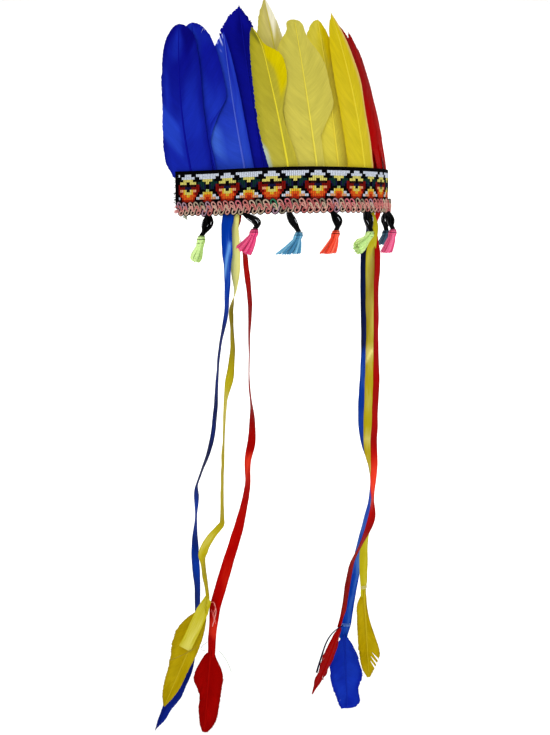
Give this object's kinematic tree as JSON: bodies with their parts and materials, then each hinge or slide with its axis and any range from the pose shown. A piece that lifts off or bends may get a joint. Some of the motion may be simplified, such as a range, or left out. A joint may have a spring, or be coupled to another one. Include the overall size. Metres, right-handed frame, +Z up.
{
  "type": "feathered headdress",
  "caption": "Costume headband of woven trim with a crown of dyed feathers, black-corded tassels and hanging satin ribbons that end in feathers.",
  "frame": {"origin": "middle of the loop that the head goes through, at the lower edge of the braid", "axes": "+Z up along the crown feathers, front of the woven band facing -Y, +X to the right as seen from the front"},
  "size_m": [0.212, 0.1804, 0.5839],
  "materials": {
    "woven_band": "matt woven yarn in a many-coloured pattern on black",
    "braid": "matt braid of pink and cream yarn looped round black cord",
    "elastic": "matt black ribbed elastic",
    "cord": "glossy black rayon cord",
    "blue_feather": "dyed goose feather with a soft sheen",
    "yellow_feather": "dyed goose feather with a soft sheen",
    "red_feather": "dyed goose feather with a soft sheen",
    "blue_satin": "glossy satin ribbon",
    "yellow_satin": "glossy satin ribbon",
    "red_satin": "glossy satin ribbon",
    "lime_yarn": "soft matt yarn",
    "pink_yarn": "soft matt yarn",
    "blue_yarn": "soft matt yarn",
    "orange_yarn": "soft matt yarn"
  },
  "bodies": {
    "root": {"back_elastic": "elastic", "braid_trim": "braid", "end_feather_left_blue": "blue_feather", "end_feather_left_red": "red_feather", "end_feather_left_yellow": "yellow_feather", "end_feather_right_blue": "blue_feather", "end_feather_right_red": "red_feather", "end_feather_right_yellow": "yellow_feather", "feather_blue_1": "blue_feather", "feather_blue_2": "blue_feather", "feather_blue_3": "blue_feather", "feather_blue_4": "blue_feather", "feather_red_1": "red_feather", "feather_red_2": "red_feather", "feather_red_3": "red_feather", "feather_red_4": "red_feather", "feather_yellow_1": "yellow_feather", "feather_yellow_2": "yellow_feather", "feather_yellow_3": "yellow_feather", "feather_yellow_4": "yellow_feather", "feather_yellow_5": "yellow_feather", "ribbon_left_blue": "blue_satin", "ribbon_left_red": "red_satin", "ribbon_left_yellow": "yellow_satin", "ribbon_right_blue": "blue_satin", "ribbon_right_red": "red_satin", "ribbon_right_yellow": "yellow_satin", "tassel_1": "lime_yarn", "tassel_2": "pink_yarn", "tassel_3": "blue_yarn", "tassel_4": "orange_yarn", "tassel_5": "lime_yarn", "tassel_6": "pink_yarn", "tassel_7": "blue_yarn", "tassel_cord_1": "cord", "tassel_cord_2": "cord", "tassel_cord_3": "cord", "tassel_cord_4": "cord", "tassel_cord_5": "cord", "tassel_cord_6": "cord", "tassel_cord_7": "cord", "woven_band": "woven_band"}
  },
  "joints": []
}
